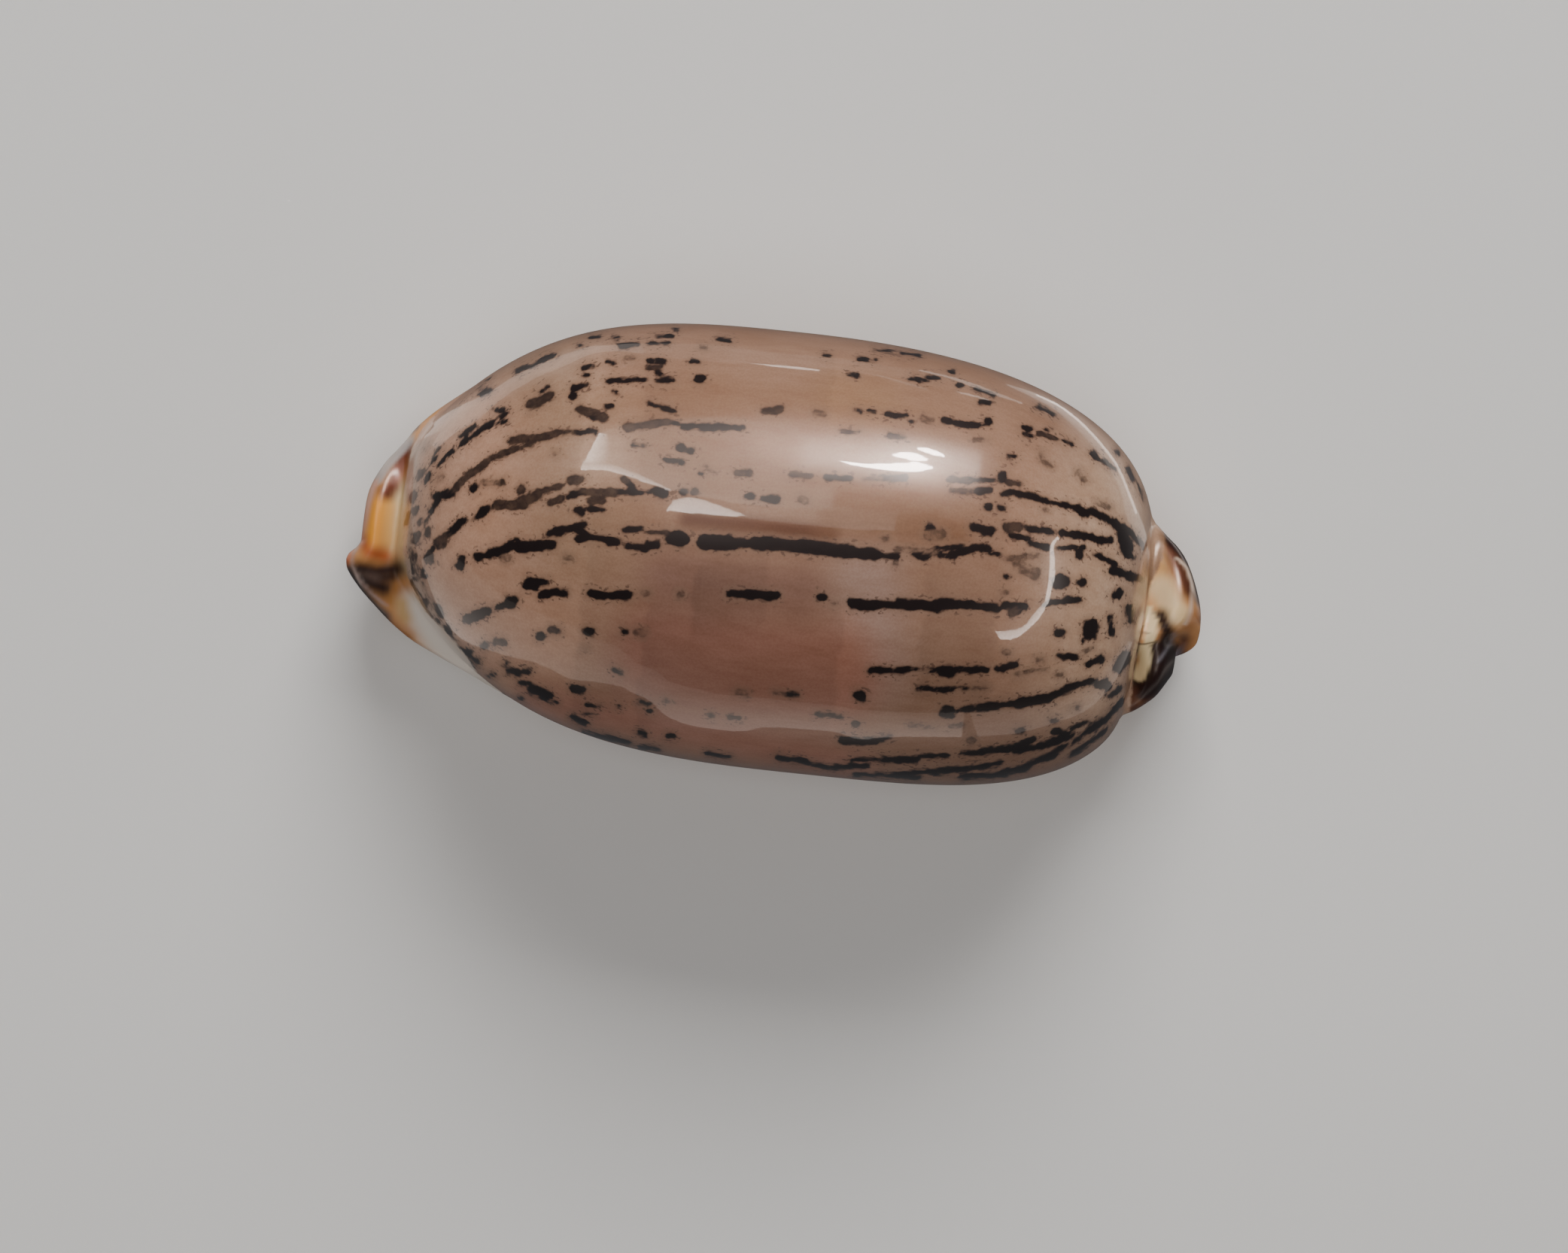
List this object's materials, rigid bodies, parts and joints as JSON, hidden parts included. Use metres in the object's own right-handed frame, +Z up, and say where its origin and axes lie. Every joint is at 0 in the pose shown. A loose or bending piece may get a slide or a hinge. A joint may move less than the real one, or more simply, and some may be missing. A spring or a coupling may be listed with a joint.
{
  "type": "cowrie shell",
  "caption": "Glossy egg-shaped sea shell with a long toothed slit underneath, orange spout ends and dark streaks on a fawn back.",
  "frame": {"origin": "on the surface that the shell rests on, under the middle of its box", "axes": "+X along the shell to its back end, where the spire is; +Y to the outer lip's side; +Z up, out of the domed back"},
  "size_m": [0.034, 0.0172, 0.0142],
  "materials": {
    "shell": "gloss"
  },
  "bodies": {
    "root": {"cowrie_shell": "shell"}
  },
  "joints": []
}
